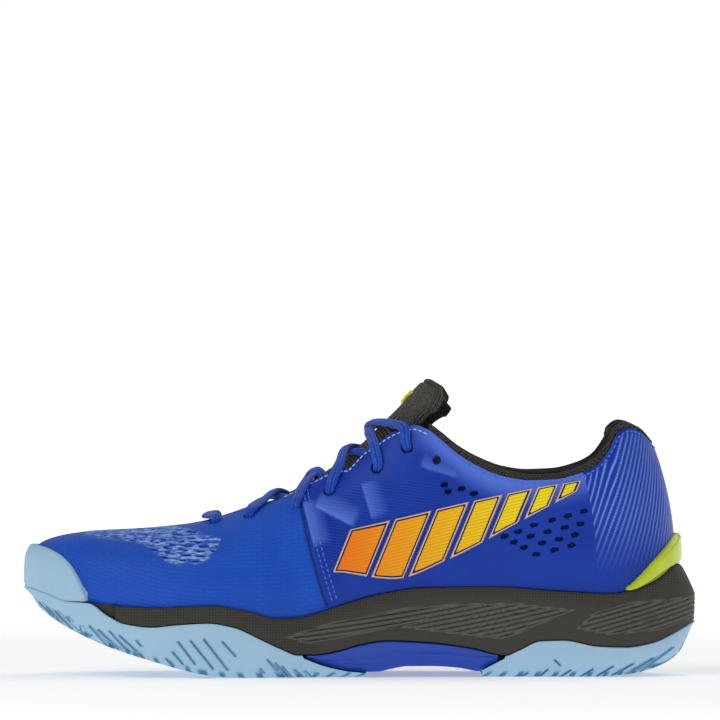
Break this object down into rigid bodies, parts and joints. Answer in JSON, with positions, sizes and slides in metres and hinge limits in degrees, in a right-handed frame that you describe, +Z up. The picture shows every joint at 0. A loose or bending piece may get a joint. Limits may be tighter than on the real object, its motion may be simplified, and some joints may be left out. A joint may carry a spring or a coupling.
{
  "type": "court shoe",
  "caption": "Low-cut right court shoe: cupped foam sole with rubber tread, arch shank and toe guard, laced mesh upper, padded collar and a hinged padded tongue.",
  "frame": {"origin": "middle of the sole in plan, on the ground", "axes": "X runs from toe (-X) to heel (+X), Y from the inner side of the foot (-Y) to the outer side (+Y), Z up"},
  "size_m": [0.2981, 0.1132, 0.1324],
  "materials": {
    "black_eva_foam": "matt moulded foam with a knurled side",
    "light_blue_rubber": "matt moulded rubber",
    "toe_rubber": "matt moulded rubber",
    "blue_shank": "satin moulded plastic",
    "gel": "soft clear gel",
    "strobel": "bonded felt",
    "sockliner_cloth": "brushed knit on foam",
    "vamp_mesh": "embossed mesh",
    "synthetic": "smooth synthetic leather",
    "backing": "stiff woven tape",
    "stiffener": "thin moulded sheet",
    "lining_mesh": "spacer mesh",
    "collar_knit": "black spacer knit",
    "padding": "open-cell foam",
    "heel_tpu": "clear yellow moulding",
    "flash_film": "orange to yellow printed film",
    "label_weave": "woven label",
    "lace_weave": "tubular woven lace",
    "aglet_film": "shrunk clear film"
  },
  "bodies": {
    "shoe": {"midsole": "black_eva_foam", "forefoot_outsole": "light_blue_rubber", "heel_outsole": "light_blue_rubber", "toe_guard": "toe_rubber", "midfoot_shank": "blue_shank", "heel_gel_pad": "gel", "forefoot_gel_pad": "gel", "strobel_board": "strobel", "sockliner": "sockliner_cloth", "vamp": "vamp_mesh", "medial_quarter": "synthetic", "lateral_quarter": "synthetic", "heel_panel": "synthetic", "medial_eyestay": "backing", "lateral_eyestay": "backing", "heel_counter": "stiffener", "toe_puff": "stiffener", "forefoot_lining": "lining_mesh", "collar_lining": "collar_knit", "collar_foam": "padding", "heel_clip": "heel_tpu", "medial_flash": "flash_film", "lateral_flash": "flash_film", "lace": "lace_weave", "lace_end_medial": "lace_weave", "lace_end_lateral": "lace_weave", "aglet_medial": "aglet_film", "aglet_lateral": "aglet_film"},
    "tongue": {"tongue_knit": "collar_knit", "tongue_foam": "padding", "tongue_lining": "collar_knit", "tongue_label": "label_weave"}
  },
  "joints": [
    {"name": "tongue_hinge", "type": "hinge", "parent": "shoe", "child": "tongue", "pos_m": [-0.062, 0, 0.0622], "axis": [0, 1, 0], "range_deg": [0, 8]}
  ]
}
